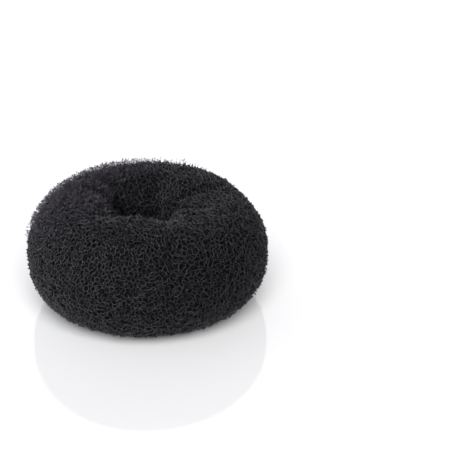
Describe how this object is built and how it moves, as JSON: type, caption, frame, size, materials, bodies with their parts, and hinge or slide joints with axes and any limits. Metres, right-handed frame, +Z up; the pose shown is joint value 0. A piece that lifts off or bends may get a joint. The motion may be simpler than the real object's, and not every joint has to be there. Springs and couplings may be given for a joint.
{
  "type": "hair donut bun maker",
  "caption": "Soft ring of rolled, crimped net with a pinched hole; a ponytail is drawn through it and spread over it to shape a bun.",
  "frame": {"origin": "middle of the hole, on the surface that the ring lies on", "axes": "+Z up along the hole, away from the head when worn; -Y is the front that the picture shows, +X to the right"},
  "size_m": [0.1196, 0.1194, 0.058],
  "materials": {
    "net": "matt black crimped nylon net"
  },
  "bodies": {
    "root": {"rolled_net_ring": "net"}
  },
  "joints": []
}
